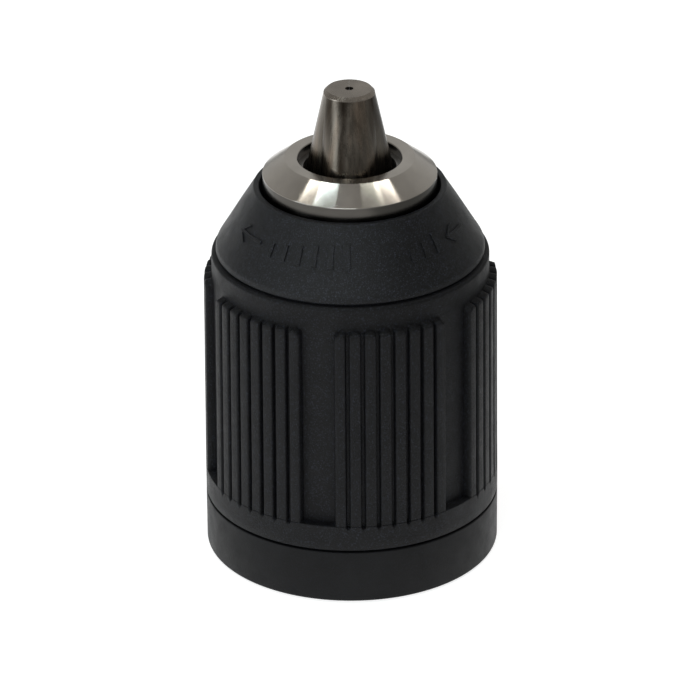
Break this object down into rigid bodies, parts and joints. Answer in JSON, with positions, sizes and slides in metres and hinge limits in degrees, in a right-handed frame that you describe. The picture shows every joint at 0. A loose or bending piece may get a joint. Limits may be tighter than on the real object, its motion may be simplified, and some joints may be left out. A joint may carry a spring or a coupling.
{
  "type": "drill chuck",
  "caption": "Ratcheting keyless drill chuck: a ribbed turning sleeve drives a split nut that slides inclined jaws in and out of a steel nose ring.",
  "frame": {"origin": "centre of the rear face, on which the chuck stands", "axes": "+Z along the chuck's axis towards the nose; one jaw faces -Y"},
  "size_m": [0.043, 0.043, 0.0719],
  "materials": {
    "body_steel": "machined, lightly oiled",
    "nose_steel": "bright turned",
    "jaw_steel": "ground, satin, brown grey",
    "nut_steel": "machined",
    "spring_steel": "blued spring steel",
    "bearing_steel": "hardened, polished",
    "cage_brass": "pressed",
    "cone_plastic": "satin black with a fine sparkle",
    "grip_plastic": "matte black, fine moulded grain",
    "guide_plastic": "plain nylon",
    "cover_plastic": "matte black, fine moulded grain"
  },
  "bodies": {
    "body": {"chuck_body": "body_steel", "nosepiece": "nose_steel", "ratchet_race": "bearing_steel", "guide_ring": "guide_plastic", "rear_cover": "cover_plastic"},
    "nut": {"nut_half_1": "nut_steel", "nut_half_2": "nut_steel", "nut_band": "spring_steel", "drive_race": "bearing_steel", "pawl_spring": "spring_steel"},
    "sleeve": {"nose_cone": "cone_plastic", "grip_sleeve": "grip_plastic", "detent_spring": "spring_steel"},
    "cage": {"ball_cage": "cage_brass", "bearing_balls": "bearing_steel"},
    "jaw_1": {"jaw_1": "jaw_steel"},
    "jaw_2": {"jaw_2": "jaw_steel"},
    "jaw_3": {"jaw_3": "jaw_steel"}
  },
  "joints": [
    {"name": "nut_turn", "type": "hinge", "parent": "body", "child": "nut", "pos_m": [0, 0, 0], "axis": [0, 0, 1], "range_deg": [0, 5760]},
    {"name": "sleeve_lock", "type": "hinge", "parent": "nut", "child": "sleeve", "pos_m": [0, 0, 0], "axis": [0, 0, 1], "range_deg": [-8, 0]},
    {"name": "cage_turn", "type": "hinge", "parent": "body", "child": "cage", "pos_m": [0, 0, 0], "axis": [0, 0, 1], "range_deg": [0, 2880]},
    {"name": "jaw_1_slide", "type": "slide", "parent": "body", "child": "jaw_1", "axis": [0, -0.2334, -0.9724], "range_m": [0, 0.0256]},
    {"name": "jaw_2_slide", "type": "slide", "parent": "body", "child": "jaw_2", "axis": [0.2022, 0.1167, -0.9724], "range_m": [0, 0.0256]},
    {"name": "jaw_3_slide", "type": "slide", "parent": "body", "child": "jaw_3", "axis": [-0.2022, 0.1167, -0.9724], "range_m": [0, 0.0256]}
  ],
  "couplings": [
    {"joint": "cage_turn", "follows": "nut_turn", "ratio": 0.5},
    {"joint": "jaw_1_slide", "follows": "nut_turn", "m_per_rad": 0.00025465},
    {"joint": "jaw_2_slide", "follows": "nut_turn", "m_per_rad": 0.00025465},
    {"joint": "jaw_3_slide", "follows": "nut_turn", "m_per_rad": 0.00025465}
  ]
}
